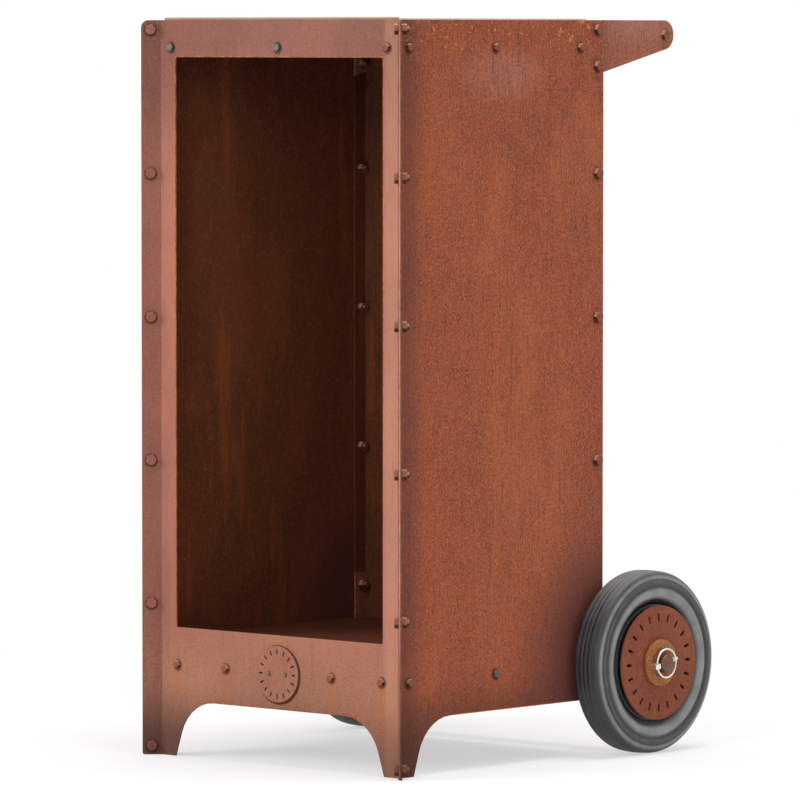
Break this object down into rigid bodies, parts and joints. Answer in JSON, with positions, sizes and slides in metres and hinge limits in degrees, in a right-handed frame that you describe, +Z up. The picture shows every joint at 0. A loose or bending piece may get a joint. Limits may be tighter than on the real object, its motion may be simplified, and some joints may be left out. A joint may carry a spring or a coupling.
{
  "type": "fireside log cart",
  "caption": "Tall open-fronted log cart of folded weathering steel on feet and solid-tyred wheels, with a wooden top board and a cross grip behind.",
  "frame": {"origin": "on the floor, under the middle of the box round the whole cart", "axes": "+Z up; -Y is the open front; +X is to the right of someone facing the opening"},
  "size_m": [0.596, 0.6032, 1.0035],
  "materials": {
    "weathered_sheet": "matte brown-red rust patina with darker vertical runs",
    "weathered_bolt": "matte rust",
    "wheel_cover": "matte rust, brighter at the rim",
    "bright_rust": "fresh orange rust",
    "axle_steel": "bare bar, lightly rusted",
    "top_wood": "pale oiled board",
    "grip_wood": "oiled turned bar",
    "tyre_rubber": "matte solid rubber",
    "rim": "satin moulded",
    "bush": "plain nylon",
    "zinc_wire": "bright zinc"
  },
  "bodies": {
    "chassis": {"front_panel": "weathered_sheet", "left_panel": "weathered_sheet", "right_panel": "weathered_sheet", "back_panel": "weathered_sheet", "floor_tray": "weathered_sheet", "top_tray": "weathered_sheet", "top_board": "top_wood", "handle_bracket_left": "weathered_sheet", "axle_bracket_left": "weathered_sheet", "handle_bracket_right": "weathered_sheet", "axle_bracket_right": "weathered_sheet", "round_plate": "weathered_sheet", "handle_grip": "grip_wood", "fin_bolt_left_1": "weathered_bolt", "fin_bolt_left_2": "weathered_bolt", "fin_bolt_left_3": "weathered_bolt", "fin_bolt_left_4": "weathered_bolt", "fin_bolt_left_5": "weathered_bolt", "fin_bolt_left_6": "weathered_bolt", "rear_bolt_left_1": "weathered_bolt", "rear_bolt_left_2": "weathered_bolt", "rear_bolt_left_3": "weathered_bolt", "rear_bolt_left_4": "weathered_bolt", "rear_bolt_left_5": "weathered_bolt", "rear_bolt_left_6": "weathered_bolt", "rear_bolt_left_7": "weathered_bolt", "grip_bolt_left": "weathered_bolt", "fin_bolt_right_1": "weathered_bolt", "fin_bolt_right_2": "weathered_bolt", "fin_bolt_right_3": "weathered_bolt", "fin_bolt_right_4": "weathered_bolt", "fin_bolt_right_5": "weathered_bolt", "fin_bolt_right_6": "weathered_bolt", "rear_bolt_right_1": "weathered_bolt", "rear_bolt_right_2": "weathered_bolt", "rear_bolt_right_3": "weathered_bolt", "rear_bolt_right_4": "weathered_bolt", "rear_bolt_right_5": "weathered_bolt", "rear_bolt_right_6": "weathered_bolt", "rear_bolt_right_7": "weathered_bolt", "grip_bolt_right": "weathered_bolt", "spacer_left": "axle_steel", "washer_left": "bright_rust", "linch_pin_left": "zinc_wire", "spacer_right": "axle_steel", "washer_right": "bright_rust", "linch_pin_right": "zinc_wire", "axle": "axle_steel"},
    "wheel_left": {"tyre_left": "tyre_rubber", "rim_left": "rim", "wheel_cover_left": "wheel_cover", "bush_left": "bush"},
    "wheel_right": {"tyre_right": "tyre_rubber", "rim_right": "rim", "wheel_cover_right": "wheel_cover", "bush_right": "bush"},
    "pin_ring_left": {"linch_ring_left": "zinc_wire"},
    "pin_ring_right": {"linch_ring_right": "zinc_wire"}
  },
  "joints": [
    {"name": "wheel_left_spin", "type": "hinge", "parent": "chassis", "child": "wheel_left", "pos_m": [-0.254, 0.1766, 0.125], "axis": [1, 0, 0], "continuous": true},
    {"name": "wheel_right_spin", "type": "hinge", "parent": "chassis", "child": "wheel_right", "pos_m": [0.254, 0.1766, 0.125], "axis": [1, 0, 0], "continuous": true},
    {"name": "pin_ring_left_flip", "type": "hinge", "parent": "chassis", "child": "pin_ring_left", "pos_m": [-0.2946, 0.1958, 0.12161], "axis": [0, -0.1736, -0.9848], "range_deg": [0, 170], "stiffness_Nm_per_rad": 0.002},
    {"name": "pin_ring_right_flip", "type": "hinge", "parent": "chassis", "child": "pin_ring_right", "pos_m": [0.2946, 0.1574, 0.12161], "axis": [0, 0.1736, -0.9848], "range_deg": [0, 170], "stiffness_Nm_per_rad": 0.002}
  ]
}
